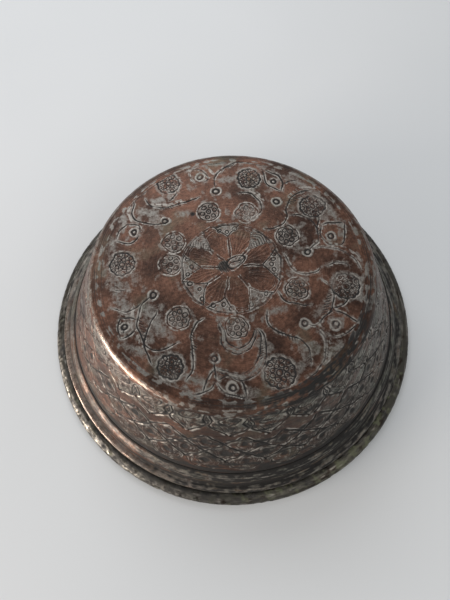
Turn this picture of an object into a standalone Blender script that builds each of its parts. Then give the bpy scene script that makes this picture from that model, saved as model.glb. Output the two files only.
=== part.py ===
"""A raised copper bowl with a wired rim, lying upside down on that rim.

One sheet of copper is hammered into a flat base, a sloping wall, a narrow
neck and a ledge, and its edge is rolled over a ring of wire. The inside is
coated with tin. Metres, +Z up, origin in the middle of the rim's sole.
"""
from math import acos, atan2, cos, degrees, hypot, radians, sin, sqrt

import bmesh
import bpy

MM = 0.001

# The whole bowl.
RIM_RADIUS = 120 * MM        # outside of the rolled rim
HEIGHT = 76.5 * MM           # rim's sole to the flat of the base
SHEET = 1.2 * MM             # copper sheet
GAP = 0.3 * MM               # left between touching pieces

# The base and the wall.
CORNER_RADIUS = 7 * MM       # outside of the soft corner round the base
CORNER_CENTRE = 73.3 * MM    # radius at which the flat of the base ends
WALL_FOOT_RADIUS = 103.2 * MM
WALL_FOOT_HEIGHT = 20.2 * MM

# The turned neck between the wall and the ledge.
NECK_GROOVE_DROP = 0.9 * MM
NECK_GROOVE_DEPTH = 0.5 * MM
NECK_BEAD_START = (104.1 * MM, 18.9 * MM)
NECK_BEAD_END = (108.7 * MM, 13.2 * MM)
NECK_BEAD_RISE = 0.8 * MM    # how far the bead stands out between its ends
LEDGE_HEIGHT = 12.1 * MM
LEDGE_BEND_RADIUS = 2.2 * MM

# The rolled rim.
ROLL_RADIUS = 3.95 * MM
SOLE_WIDTH = 1.6 * MM        # flat worn on the rim where the bowl stands
ROLL_LAP_ANGLE = 124.0       # degrees; where the sheet's edge ends on top of the roll

# The tin.
TIN_THICKNESS = 0.3 * MM
TIN_EDGE_RADIUS = 110.2 * MM

TURNS = 72                   # facets round the bowl

ROLL_CENTRE = (RIM_RADIUS - ROLL_RADIUS, sqrt(ROLL_RADIUS ** 2 - (SOLE_WIDTH / 2) ** 2))
SOLE_ANGLE = degrees(acos(SOLE_WIDTH / 2 / ROLL_RADIUS))
CHANNEL_RADIUS = ROLL_RADIUS - SHEET
LEG_RADIUS = ROLL_CENTRE[0] - CHANNEL_RADIUS


def remove_everything():
    for item in list(bpy.data.objects):
        bpy.data.objects.remove(item, do_unlink=True)


def arc(centre, radius, start, end, steps):
    """Points on a circle in the section plane, from one angle to the other, ends included."""
    angles = [radians(start + (end - start) * step / steps) for step in range(steps + 1)]
    return [(centre[0] + radius * cos(angle), centre[1] + radius * sin(angle)) for angle in angles]


def bulged(first, last, rise, steps):
    """Points from first to last on a parabola that stands out by rise half-way."""
    length = hypot(last[0] - first[0], last[1] - first[1])
    outward = ((first[1] - last[1]) / length, (last[0] - first[0]) / length)
    points = []
    for step in range(steps + 1):
        part = step / steps
        out = rise * 4 * part * (1 - part)
        points.append((first[0] + (last[0] - first[0]) * part + outward[0] * out,
                       first[1] + (last[1] - first[1]) * part + outward[1] * out))
    return points


def wall_normal_angle():
    """Angle above level at which the wall faces: it is tangent to the base's corner."""
    run = WALL_FOOT_RADIUS - CORNER_CENTRE
    rise = WALL_FOOT_HEIGHT - (HEIGHT - CORNER_RADIUS)
    return degrees(atan2(rise, run) + acos(CORNER_RADIUS / hypot(run, rise)))


def base_and_wall(depth, steps):
    """The sheet's surface at a depth below its outer face, from the axis to the wall's foot."""
    facing = wall_normal_angle()
    corner = arc((CORNER_CENTRE, HEIGHT - CORNER_RADIUS), CORNER_RADIUS - depth, 90, facing, steps)
    foot = (WALL_FOOT_RADIUS - depth * cos(radians(facing)),
            WALL_FOOT_HEIGHT - depth * sin(radians(facing)))
    return [(0, HEIGHT - depth)] + corner + [foot]


def neck_inside(depth):
    """The inner side of the neck and the ledge at a depth below the outer face, foot to bend."""
    run = NECK_BEAD_END[0] - NECK_BEAD_START[0]
    rise = NECK_BEAD_END[1] - NECK_BEAD_START[1]
    length = hypot(run, rise)
    outward = (-rise / length, run / length)
    start = (NECK_BEAD_START[0] - outward[0] * depth, NECK_BEAD_START[1] - outward[1] * depth)
    level = LEDGE_HEIGHT - depth
    along = (level - start[1]) / rise
    return [start, (start[0] + run * along, level)]


def sheet_section():
    """The closed section of the copper sheet, outer face first, with its edge rolled over."""
    groove = (WALL_FOOT_RADIUS - NECK_GROOVE_DEPTH, WALL_FOOT_HEIGHT - NECK_GROOVE_DROP)
    bead = bulged(NECK_BEAD_START, NECK_BEAD_END, NECK_BEAD_RISE, 4)
    bend_centre = (LEG_RADIUS - LEDGE_BEND_RADIUS, LEDGE_HEIGHT - LEDGE_BEND_RADIUS)
    ledge_start = (NECK_BEAD_END[0] + NECK_GROOVE_DEPTH, LEDGE_HEIGHT)
    bend = arc(bend_centre, LEDGE_BEND_RADIUS, 90, 0, 4)
    channel = arc(ROLL_CENTRE, CHANNEL_RADIUS, 180, 360 + ROLL_LAP_ANGLE, 11)
    roll_top = arc(ROLL_CENTRE, ROLL_RADIUS, ROLL_LAP_ANGLE, 0, 5)
    roll_side = arc(ROLL_CENTRE, ROLL_RADIUS, 0, -SOLE_ANGLE, 4)[1:]
    roll_inside = arc(ROLL_CENTRE, ROLL_RADIUS, SOLE_ANGLE - 180, -180, 4)
    bend_inside = arc(bend_centre, LEDGE_BEND_RADIUS - SHEET, 0, 90, 3)
    inside = base_and_wall(SHEET, 5) + neck_inside(SHEET)
    return (base_and_wall(0, 6) + [groove] + bead + [ledge_start] + bend + channel
            + roll_top + roll_side + roll_inside + bend_inside + inside[::-1])


def tin_section():
    """The closed section of the tin coat inside the base, wall, neck and ledge."""
    near = base_and_wall(SHEET + GAP, 5) + neck_inside(SHEET + GAP)
    far = base_and_wall(SHEET + GAP + TIN_THICKNESS, 5) + neck_inside(SHEET + GAP + TIN_THICKNESS)
    near.append((TIN_EDGE_RADIUS, LEDGE_HEIGHT - SHEET - GAP))
    far.append((TIN_EDGE_RADIUS, LEDGE_HEIGHT - SHEET - GAP - TIN_THICKNESS))
    return near + far[::-1]


def wire_section():
    """The wire's round section, with the clearance that the roll leaves round it."""
    return arc(ROLL_CENTRE, CHANNEL_RADIUS - GAP, 360, 0, 12)[:-1]


def material(name, colour, roughness, metallic):
    finish = bpy.data.materials.new(name)
    finish.use_nodes = True
    shader = finish.node_tree.nodes["Principled BSDF"]
    shader.inputs["Base Color"].default_value = (*colour, 1)
    shader.inputs["Roughness"].default_value = roughness
    shader.inputs["Metallic"].default_value = metallic
    return finish


def turned(name, section, closed, finish):
    """A named solid: the section's line in the XZ plane, turned once round the Z axis."""
    mesh = bpy.data.meshes.new(name)
    form = bmesh.new()
    line = [form.verts.new((radius, 0, height)) for radius, height in section]
    for first, second in zip(line, line[1:]):
        form.edges.new((first, second))
    if closed:
        form.edges.new((line[-1], line[0]))
    form.to_mesh(mesh)
    form.free()
    piece = bpy.data.objects.new(name, mesh)
    bpy.context.scene.collection.objects.link(piece)
    screw = piece.modifiers.new("turn", "SCREW")
    screw.axis = "Z"
    screw.angle = radians(360)
    screw.steps = TURNS
    screw.render_steps = TURNS
    screw.use_merge_vertices = True
    screw.merge_threshold = 0.01 * MM
    screw.use_smooth_shade = True
    mesh.materials.append(finish)
    return piece


remove_everything()
copper = material("worn copper", (0.30, 0.15, 0.10), 0.45, 1.0)
tin = material("wiped tin", (0.62, 0.61, 0.58), 0.35, 1.0)
iron = material("iron wire", (0.12, 0.11, 0.10), 0.60, 1.0)

turned("copper_body", sheet_section(), False, copper)
turned("rim_wire", wire_section(), True, iron)
turned("tin_lining", tin_section(), False, tin)
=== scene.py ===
"""A raised and engraved copper bowl with a wired rim, lying upside down on that rim.

Lengths in this file are in millimetres until the mesh is made, and angles are
in degrees, measured round the axis from +X towards +Y.
"""
import bpy
import numpy as np
from mathutils import Euler, Matrix, Vector


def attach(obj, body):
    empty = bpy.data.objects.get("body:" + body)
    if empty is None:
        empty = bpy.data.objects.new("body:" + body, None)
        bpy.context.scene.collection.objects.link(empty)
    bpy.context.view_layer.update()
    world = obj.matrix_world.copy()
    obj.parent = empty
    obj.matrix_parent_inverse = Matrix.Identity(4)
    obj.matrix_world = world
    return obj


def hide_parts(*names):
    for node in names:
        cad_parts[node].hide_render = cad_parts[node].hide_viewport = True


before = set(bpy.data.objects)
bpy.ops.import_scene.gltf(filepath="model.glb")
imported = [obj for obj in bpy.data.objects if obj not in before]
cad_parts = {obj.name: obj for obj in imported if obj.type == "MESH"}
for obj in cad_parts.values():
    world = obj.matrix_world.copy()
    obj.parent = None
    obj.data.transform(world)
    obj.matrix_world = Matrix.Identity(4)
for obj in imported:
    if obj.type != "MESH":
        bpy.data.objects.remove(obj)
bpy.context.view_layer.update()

MM = 0.001

# ---------------------------------------------------------------------------
# 1. The sheet's flat base, seen from outside.
# The middle of a 1.2 mm copper sheet, hammered flat, tinned, then engraved
# with a medallion, rosettes and running scrolls that cut through the tin.
# ---------------------------------------------------------------------------
SHEET = 1.2
BASE_HEIGHT = 76.5
CORNER_RADIUS = 7.0
CORNER_CENTRE = 73.3
WALL_FACING = 24.29          # angle above level at which the wall's outside faces
WALL_LENGTH = 57.2           # from the corner's end down to the neck
CORNER_END = CORNER_CENTRE + CORNER_RADIUS * np.radians(90 - WALL_FACING)

BOARD_REACH = 80.0           # half the side of the drawing board for the base
BOARD_PITCH = 0.1
BOARD_SIDE = int(round(2 * BOARD_REACH / BOARD_PITCH)) + 1
GRAVER_WIDTH = 0.38          # half width of the engraver's ordinary line
HAZE_WIDTH = 1.7             # how far from a line tin stays in its shelter


def outer_face(path):
    """Section of the sheet's outside at a distance along it from the axis: radius, height, facing.

    Level out to the corner's centre, then a quarter-like arc of CORNER_RADIUS,
    then a straight wall that leaves the arc without a break.
    """
    path = np.asarray(path, float)
    turn = np.clip((path - CORNER_CENTRE) / CORNER_RADIUS, 0, np.radians(90 - WALL_FACING))
    facing = np.pi / 2 - turn
    level = np.minimum(path, CORNER_CENTRE)
    down = np.maximum(path - CORNER_END, 0)
    radius = level + CORNER_RADIUS * np.cos(facing) + down * np.sin(facing)
    height = BASE_HEIGHT - CORNER_RADIUS + CORNER_RADIUS * np.sin(facing) - down * np.cos(facing)
    return radius, height, facing


def waves(x, y, z, size, seed, count=24):
    """Smooth unevenness between about -1 and 1: the sum of count cosine waves.

    Each wave has a random direction in space and a length near size, and the
    sum is divided by its own spread.
    """
    dice = np.random.default_rng(seed)
    total = np.zeros(np.broadcast(x, y, z).shape)
    for way, length, phase in zip(dice.normal(size=(count, 3)), dice.uniform(0.7, 1.5, count),
                                  dice.uniform(0, 2 * np.pi, count)):
        way = way / np.linalg.norm(way) * 2 * np.pi / (size * length)
        total += np.cos(way[0] * x + way[1] * y + way[2] * z + phase)
    return total / np.sqrt(count)


def step(low, high, value):
    """Smooth rise from 0 at low to 1 at high."""
    part = np.clip((value - low) / (high - low), 0, 1)
    return part * part * (3 - 2 * part)


def bell(distance, width):
    """1 at no distance, falling off on both sides: exp(-(distance / width)^2)."""
    return np.exp(-(distance / width) ** 2)


def facing_side(angle, middle, spread):
    """A bell round the bowl, 1 at its middle, with the angle in radians and the rest in degrees."""
    return bell((np.degrees(angle) - middle + 180) % 360 - 180, spread)


board = {layer: np.zeros((BOARD_SIDE, BOARD_SIDE), np.float32)
         for layer in ("cut", "pale", "tin", "bare")}


def board_window(x0, y0, x1, y1):
    """The part of the drawing board between two corners, with the x and y of its points."""
    first = [int(np.clip((low + BOARD_REACH) / BOARD_PITCH, 0, BOARD_SIDE - 2)) for low in (x0, y0)]
    last = [int(np.clip((high + BOARD_REACH) / BOARD_PITCH + 2, first[i] + 1, BOARD_SIDE))
            for i, high in enumerate((x1, y1))]
    part = (slice(first[1], last[1]), slice(first[0], last[0]))
    x = np.arange(first[0], last[0]) * BOARD_PITCH - BOARD_REACH
    y = np.arange(first[1], last[1]) * BOARD_PITCH - BOARD_REACH
    return part, x[None, :], y[:, None]


def lay(layer, part, amount):
    """Put an amount on one layer of the board where it is more than what is there."""
    np.maximum(board[layer][part], amount, out=board[layer][part])


def engrave(part, distance, width=GRAVER_WIDTH, dark=1.0, pale=0.8):
    """A graver's line: a dark furrow, and on both sides of it, two widths away, the tin that
    the tool pushed up."""
    lay("cut", part, dark * bell(distance, width))
    lay("pale", part, pale * bell(distance - 2 * width, width))


def smooth_line(points, spacing=0.8):
    """A Catmull-Rom curve through given points, as points about spacing apart."""
    points = np.asarray(points, float)
    ends = np.vstack([2 * points[0] - points[1], points, 2 * points[-1] - points[-2]])
    line = [points[:1]]
    for a, b, c, d in zip(ends, ends[1:], ends[2:], ends[3:]):
        count = max(2, int(np.ceil(np.linalg.norm(c - b) / spacing)))
        t = np.linspace(0, 1, count + 1)[1:, None]
        line.append(0.5 * (2 * b + (c - a) * t + (2 * a - 5 * b + 4 * c - d) * t ** 2
                           + (3 * b - 3 * c + d - a) * t ** 3))
    return np.concatenate(line)


def segment_distance(x, y, a, b):
    """Distance from points to the straight piece between a and b."""
    way = b - a
    along = np.clip(((x - a[0]) * way[0] + (y - a[1]) * way[1]) / max(way @ way, 1e-9), 0, 1)
    return np.hypot(x - a[0] - along * way[0], y - a[1] - along * way[1])


def stroke(points, width=GRAVER_WIDTH, dark=1.0, pale=0.9, taper=True, haze=0.0):
    """One engraved line along a smooth curve, thinner at its two ends where the tool came out.

    haze is how much tin has stayed in the shelter of the line, fading over HAZE_WIDTH.
    """
    line = smooth_line(points)
    reach = 4.5 * width if haze == 0 else 2 * HAZE_WIDTH
    for number, (a, b) in enumerate(zip(line, line[1:])):
        from_end = min(number, len(line) - 2 - number)
        share = min(1.0, 0.55 + 0.15 * from_end) if taper else 1.0
        low, high = np.minimum(a, b) - reach, np.maximum(a, b) + reach
        part, x, y = board_window(*low, *high)
        distance = segment_distance(x, y, a, b)
        engrave(part, distance, width * share, dark * share, pale)
        if haze:
            lay("tin", part, haze * bell(distance, HAZE_WIDTH))


def wiped(points, width, amount=0.8, layer="tin"):
    """A broad soft mark along a curve, where tin still lies or where it has worn off."""
    line = smooth_line(points, 2.0) if len(points) > 1 else np.asarray(points * 2, float)
    for a, b in zip(line, line[1:]):
        low, high = np.minimum(a, b) - 2 * width, np.maximum(a, b) + 2 * width
        part, x, y = board_window(*low, *high)
        lay(layer, part, amount * bell(segment_distance(x, y, a, b), width))


def polar_window(radius, angle, reach):
    """The board round a centre given by its radius and angle on the base, as polar points about
    that centre: radius, and angle counted from the line that points away from the axis."""
    cx, cy = radius * np.cos(np.radians(angle)), radius * np.sin(np.radians(angle))
    part, x, y = board_window(cx - reach, cy - reach, cx + reach, cy + reach)
    return part, np.hypot(x - cx, y - cy), np.arctan2(y - cy, x - cx) - np.radians(angle)


def beads_on(r, a, count, reach, size):
    """Distance to the nearest of count rings of a size, whose centres stand on a circle of a reach."""
    off = ((a * count / (2 * np.pi)) % 1 - 0.5) * 2 * np.pi / count
    return np.abs(np.hypot(r * np.cos(off) - reach, r * np.sin(off)) - size)


def large_rosette(radius, angle, size, dark=1.0):
    """A flower: a scalloped outline R (0.91 + 0.09 |cos 6a|) with a ring in each of its twelve
    petals, eight rings inside those, and a ring and dot in the middle, all on a darkened ground."""
    part, r, a = polar_window(radius, angle, size * 1.45)
    a = a + np.radians(angle * 3)
    outline = size * (0.91 + 0.09 * np.abs(np.cos(6 * a)))
    lay("tin", part, 0.75 * step(1.38, 1.12, r / size) * step(0.9, 1.0, r / outline))
    engrave(part, np.abs(r - outline), 0.4, dark, 1.0)
    engrave(part, beads_on(r, a + np.pi / 12, 12, 0.79 * size, 0.135 * size), 0.27, 0.9 * dark, 0.85)
    engrave(part, beads_on(r, a, 8, 0.45 * size, 0.145 * size), 0.27, 0.95 * dark, 0.9)
    engrave(part, np.abs(r - 0.2 * size), 0.36, dark, 0.7)
    lay("cut", part, 0.12 * dark * step(size * 0.95, size * 0.85, r))
    lay("pale", part, bell(r, 0.55))


def small_rosette(radius, angle, beads, turn, dark=1.0, size=6.2):
    """A flower of ring beads round a centre ring, on a ground of tin inside a scalloped line
    R (0.92 + 0.08 |cos(n a / 2)|), R being its size."""
    part, r, a = polar_window(radius, angle, 9.0)
    a = a + np.radians(turn)
    outline = size * (0.92 + 0.08 * np.abs(np.cos(beads * a / 2)))
    engrave(part, np.abs(r - outline), 0.3, 0.8 * dark, 1.0)
    lay("tin", part, 0.62 * step(size, size - 1, r))
    lay("pale", part, 0.9 * bell(r - size - 0.7, 0.5))
    engrave(part, beads_on(r, a, beads, 3.7, 1.2), 0.32, dark, 0.8)
    engrave(part, np.abs(r - 1.2), 0.32, dark, 0.8)
    lay("cut", part, 0.75 * dark * bell(r, 0.45))


def ring_dot(radius, angle, size=1.5, dark=1.0):
    """A punched ring with a pale middle and a pale rim outside it."""
    part, r, _ = polar_window(radius, angle, size + 3.0)
    engrave(part, np.abs(r - size), 0.55, dark, 1.0)
    lay("tin", part, 0.9 * step(size, 0.5 * size, r))
    lay("tin", part, 0.95 * np.exp(-((r - size - 1.2) / 0.75) ** 4))


def at(radius, angle):
    """The point x, y at a radius and angle on the base."""
    return (radius * np.cos(np.radians(angle)), radius * np.sin(np.radians(angle)))


def hatch(start, end, count, length, lean, width=0.26, dark=0.8, side=1):
    """Short feather strokes set off one side of a line, each leaning back by an angle."""
    start, end = np.array(start, float), np.array(end, float)
    way = (end - start) / np.linalg.norm(end - start)
    off = np.array([-way[1], way[0]]) * side
    barb = way * np.cos(np.radians(lean)) + off * np.sin(np.radians(lean))
    for share in np.linspace(0.04, 0.96, count):
        root = start + (end - start) * share
        size = length * (0.55 + 0.45 * np.sin(np.pi * share))
        stroke([root, root + barb * size], width, dark, 0.35, taper=False)


# The medallion in the middle: eight petals with raised veins inside a worn ring (each petal's
# direction and half width), and between each two of them a stalk that ends in a pointed panel
# of tin (its direction, half width, the radius of its tip, and its number of punched rings,
# or ribs where it has none).
MEDALLION_RING = 27.4
part, x, y = board_window(-31, -31, 31, 31)
r, a = np.hypot(x, y), np.degrees(np.arctan2(y, x))
engrave(part, np.abs(r - MEDALLION_RING), 0.3, 0.55, 0.75)
engrave(part, np.abs(r - MEDALLION_RING + 1.5), 0.24, 0.3, 0.5)
PETALS = (
    (27, 24), (73, 20), (112, 17), (151, 22), (198, 22), (240, 18), (283, 24), (335, 25),
)
for petal, spread in PETALS:
    off = (a - petal + 180) % 360 - 180
    bent = off + 0.35 * (r - 15) * np.sin(np.radians(off * 6 + petal * 7))
    veins = np.abs((bent * (0.55 + 4.5 / np.maximum(r, 5)) / 7.0) % 1 - 0.5)
    veins = veins * 7.0 * np.pi / 180 * r * 0.8
    inside = (np.abs(off) < spread * 0.9) & (r > 8.5) & (r < 23.0 - 4.0 * (off / spread) ** 2)
    lay("pale", part, np.where(inside, 0.26 * bell(veins, 0.26), 0))
    lay("cut", part, np.where(inside, 0.3 * bell(veins - 0.55, 0.24), 0))
    edge = np.where((np.abs(off) < spread) & (r > 13), np.abs(r - 25.0 + 2.6 * (off / spread) ** 2), 9)
    engrave(part, edge, 0.28, 0.5, 0.5)
PANELS = (
    (2, 21, 16.5, 5), (48, 15, 14.5, 0), (94, 15, 19.5, 3), (136, 13, 15.5, 0), (178, 16, 17.0, 3),
    (215, 19, 16.5, 3), (256, 17, 18.5, 3), (305, 18, 16.0, 4),
)
for middle, half_width, tip, rings in PANELS:
    off = (a - middle + 180) % 360 - 180
    side = tip + (27.0 - tip) * (np.abs(off) / half_width) ** 1.25
    inside = (r > side) & (r < 26.6) & (np.abs(off) < half_width)
    near = np.where(np.abs(off) < half_width + 4, np.abs(r - side) * 0.75, 9)
    near = np.where((r > tip - 1.5) & (r < 27.2), near, 9)
    board["pale"][part] = np.where(inside, 0, board["pale"][part])
    board["cut"][part] = np.where(inside, 0, board["cut"][part])
    lay("tin", part, np.where(inside, 0.8, 0))
    engrave(part, near, 0.36, 1.0, 1.0)
    engrave(part, np.where(np.abs(off) < half_width, np.abs(r - 26.8), 9), 0.32, 0.8, 1.0)
    aside = off * np.pi / 180 * r
    stalk = np.where((r > 6.0) & (r < tip + 0.5), np.abs(np.abs(aside) - 0.75), 9)
    lay("pale", part, 0.95 * bell(stalk, 0.34))
    lay("cut", part, np.where((r > 6.0) & (r < tip), 0.8 * bell(aside, 0.3), 0))
    for number in range(rings):
        place = (number - (rings - 1) / 2) / max((rings - 1) / 2, 1)
        bx, by = at(24.4 - (1.8 + 0.14 * (22 - tip)) * (1 - abs(place)), middle + place * half_width * 0.68)
        engrave(part, np.abs(np.hypot(x - bx, y - by) - 1.05), 0.3, 1.0, 0.9)
    if not rings:
        rib = np.abs((r * 0.9 + np.abs(off) * 0.22) % 1.5 - 0.75)
        engrave(part, np.where(inside, rib, 9), 0.24, 0.9, 0.6)
# In its middle a dark knot of short cuts, and beside it a tinned leaf with a cut rib.
knot = np.hypot((x + 3.8) / 4.4, (y - 0.4) / 3.6)
lay("cut", part, 0.55 * step(1.1, 0.7, knot))
lay("tin", part, 0.6 * step(1.2, 0.9, knot))
engrave(part, np.where(knot < 1, np.abs((x + 0.6 * y) % 1.3 - 0.65), 9), 0.22, 0.9, 0.5)
lean = np.radians(32)
u = (x - 2.6) * np.cos(lean) + (y - 3.4) * np.sin(lean)
v = -(x - 2.6) * np.sin(lean) + (y - 3.4) * np.cos(lean)
leaf = np.hypot(u / 5.6, v / (2.9 - 0.15 * u))
board["pale"][part] = np.where(leaf < 1, 0, board["pale"][part])
board["cut"][part] = np.where(leaf < 1, 0, board["cut"][part])
lay("tin", part, np.where(leaf < 1, 0.8, 0))
engrave(part, np.abs(leaf - 1) * 3.2, 0.36, 1.0, 1.0)
engrave(part, np.where((leaf < 0.9) & (u < 3), np.abs(v + 0.6 * np.sin(u * 0.7)), 9), 0.34, 1.0, 0.6)
engrave(part, np.where((leaf < 0.95) & (u > 0.5), np.abs((v - 0.4 * u) % 1.5 - 0.75), 9), 0.24, 0.8, 0.5)

# Seven large rosettes near the edge (place, size, depth of cut) and eight small ones nearer the
# medallion (place, number of beads, turn, depth of cut).
LARGE_ROSETTES = (
    (60, 78, 7.0, 0.9), (61, 38, 7.4, 1.0), (62, -13, 7.6, 1.0), (63, -70, 8.0, 1.0),
    (63.5, 239, 6.6, 1.0), (60, 176, 7.0, 0.8), (67, 122, 6.8, 0.9),
)
for radius, angle, size, dark in LARGE_ROSETTES:
    large_rosette(radius, angle, size, dark)
SMALL_ROSETTES = (
    (38, 108, 6, 0, 1), (36, 74, 7, 12, 1), (36.7, 30, 7, 5, 1), (37, -23, 7, 20, 1),
    (35, 272, 7, 8, 1), (40.5, 225, 7, 15, 1), (33.5, 175, 6, 0, 0.7), (36, 152, 6, 25, 0.7),
)
for radius, angle, beads, turn, dark in SMALL_ROSETTES:
    small_rosette(radius, angle, beads, turn, dark)

# Fourteen punched rings, each inside a leaf or at the tip of a scroll.
RING_DOTS = (
    (62, 64), (58.7, 16.6), (63, 326), (66, 268), (65, 210), (59.5, 156), (63, 105), (50, 56.5),
    (43, 10.3), (50, 317), (52, 258), (45, 199.5), (48, 140), (51, 98),
)
for radius, angle in RING_DOTS:
    ring_dot(radius, angle)

# The running scrolls, each drawn through a few points (x, y).
SCROLLS = (
    [(5, 70), (-4, 66), (-7.5, 61), (-8, 57.5), (-7.5, 53.5)], [(-23, 67), (-22.6, 62), (-20, 57.5)],
    [(-23, 67), (-16, 65.5), (-11.5, 60.5), (-14, 57)],
    [(-49, 47), (-46.6, 43), (-44, 40.7), (-39.4, 40), (-35.4, 40.4), (-27.6, 43), (-22, 44.4),
     (-17, 47)],
    [(-30, 51), (-32, 47.5), (-35, 45)],
    [(-55.4, 46), (-56, 39), (-55, 34.5), (-51.8, 31), (-46.6, 29.6), (-40, 29), (-37.5, 29.8)],
    [(-58.4, 30), (-62, 25.5), (-64.3, 20)], [(-64.3, 19), (-59, 17.6), (-55, 18), (-50.5, 22.5)],
    [(-50, 24), (-52.5, 28.5), (-58.4, 30)],
    [(-4, 64), (-1.3, 68), (3.3, 70.3), (10.5, 71), (15, 70.3)],
    [(21, 65), (25.6, 62.7), (30.2, 60), (32.2, 55), (31.2, 49)],
    [(21, 65), (22, 58), (24.5, 52.5), (31.2, 49)], [(32.2, 53.5), (36.7, 55.8), (41.3, 56.2)],
    [(49, 48.3), (43.3, 48), (38, 45), (34, 39.8), (33, 35.2), (32.8, 31.2), (30.5, 27.3),
     (24.3, 23.7), (19.7, 23.2)],
    [(34, 32.2), (40.7, 31.6), (45.9, 28), (49.2, 22.7), (49, 15), (45.9, 11.8), (43.6, 8.8)],
    [(51.2, 31), (49.5, 24), (49.2, 17)], [(51.8, 24.7), (55, 25.7), (60, 26), (64.3, 25.7)],
    [(64.6, 26), (64.6, 22), (64, 17.5), (62, 13), (59, 11.2)],
    [(51.8, 24.7), (50.8, 18), (53.5, 13), (59, 11.2)],
    [(6, 48.3), (10.5, 48.8), (14.4, 47.6), (17.7, 43), (18.7, 37), (14.4, 31.2), (10.5, 28.8)],
    [(45.3, 10.2), (51.2, 10.8), (59, 8.9), (64.3, 5.2), (68.2, 0.7), (69.6, -4.6)],
    [(51.8, -1.3), (56.4, 0.7), (61, 0.3), (64.3, -2)],
    [(28.6, 6.9), (30.8, 2.6), (34, -3.3), (36.7, -5.6), (42, -5.6), (46, -4.6), (48.6, -2)],
    [(24.4, -15.7), (26.2, -19.7), (31.5, -23), (40.7, -24)],
    [(47.2, -9.2), (51.2, -13), (53.5, -17.7), (51.8, -24.3), (50.5, -27), (46.5, -31.5), (42, -35.4),
     (38, -34.5)],
    [(61.7, -20.3), (56.4, -25), (51.2, -26.2)], [(51.8, -27), (57, -29), (61, -32.2), (64.3, -34.5)],
    [(43.3, -35.8), (46.6, -39.8), (51.8, -41.7), (57.7, -39.8), (64.3, -34)],
    [(51.8, -27), (47.5, -30.5), (43.3, -35.8)],
    [(17.7, -26.2), (17.2, -32), (21, -37), (26.2, -40), (31.5, -41.4), (35.4, -44.4), (37.4, -49),
     (37.7, -56)],
    [(42, -36.5), (45.3, -41), (46, -45.7), (45.3, -50.3), (43.3, -55), (39.4, -59.4), (35.4, -62.7)],
    [(-10.8, -52.5), (-10.5, -56), (-10.2, -60), (-10.2, -64)],
    [(-9.8, -56.2), (-13, -59), (-15.5, -64), (-16.5, -68)],
    [(-10.2, -62), (-13, -66), (-17, -68), (-21.7, -68.6)],
    [(-9.8, -62.7), (-7.2, -66.7), (-2.6, -70), (4.6, -71.3)],
    [(2, -61.4), (3.9, -66.7), (4.9, -71.3)], [(-10, -62), (-5, -60.5), (2, -61.4)],
    [(-15.7, -29.3), (-19.7, -32), (-22, -36.5), (-22.3, -43), (-21.3, -49.6), (-22, -56.2),
     (-25, -62)],
    [(-43.6, -15.8), (-45.3, -16.5), (-48, -21), (-50, -27.6), (-50, -33), (-46.6, -40), (-45.6, -45),
     (-43.6, -49), (-41.7, -53)],
    [(-48, -19.7), (-51.2, -22.3), (-55.8, -24), (-59, -23.6)],
    [(-59.4, -27.6), (-60, -31), (-59.4, -34.8), (-58.7, -39)],
    [(-58.7, -39), (-53.8, -36.7), (-50.2, -33.5)], [(-59.4, -27.6), (-54.5, -27), (-50.8, -29)],
    [(-40, -24), (-42.7, -30), (-45.3, -35.8), (-46, -41.7), (-41.3, -45.3), (-35.4, -45.3),
     (-28.2, -41.4)],
    [(-65, -11), (-60.4, -12), (-55, -11.8)], [(-64, -21.6), (-61, -22.5), (-58.5, -24)],
)
for scroll in SCROLLS:
    stroke(scroll, haze=0.62)
# Second lines that run beside a scroll and only lift the tin.
SECOND_LINES = (
    [(-11, 67), (-9.5, 64.5), (-7.5, 62)], [(53, 50), (46, 51), (39, 48.5), (34, 43)],
    [(55, 12.8), (61.5, 10.8), (67, 6.2), (71, 0.5)], [(-45.5, 42.6), (-36, 42.4), (-26, 45.4)],
    [(-58, 44), (-58.2, 37), (-55, 31)], [(-52, -20), (-53, -28), (-51.5, -35), (-48, -42)],
    [(47.8, -42), (48.2, -47), (46.8, -53), (42, -59)], [(12, 50.4), (17, 48), (20.4, 42)],
)
for scroll in SECOND_LINES:
    stroke(scroll, 0.3, 0.25, 1.0)
# Broad tinned hooks, with their half width, and a dark edge on both sides.
HOOKS = (
    ([(-7.5, -32), (-6.6, -36.5), (-5.2, -43), (-2, -46.3), (2, -47.3), (6.6, -45), (9.8, -40.4),
      (10.8, -36.5)], 1.1),
    ([(12, -36.5), (14.4, -41), (14, -47.6), (12.5, -53.5), (8, -58.8), (2.6, -60.8), (-5.5, -58.5),
      (-9.8, -56.2)], 1.3),
)
for hook, half in HOOKS:
    wiped(hook, half, 1.0)
    line = smooth_line(hook)
    way = np.gradient(line, axis=0)
    off = np.stack([-way[:, 1], way[:, 0]], 1) / np.linalg.norm(way, axis=1)[:, None]
    fade = np.sin(np.linspace(0.15, np.pi - 0.15, len(line)))[:, None] * half * 1.5
    stroke(line[::3] + off[::3] * fade[::3], 0.36, 1.0, 0.6)
    stroke(line[::3] - off[::3] * fade[::3], 0.36, 1.0, 0.6)
FEATHER_LEAN = 55
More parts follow.
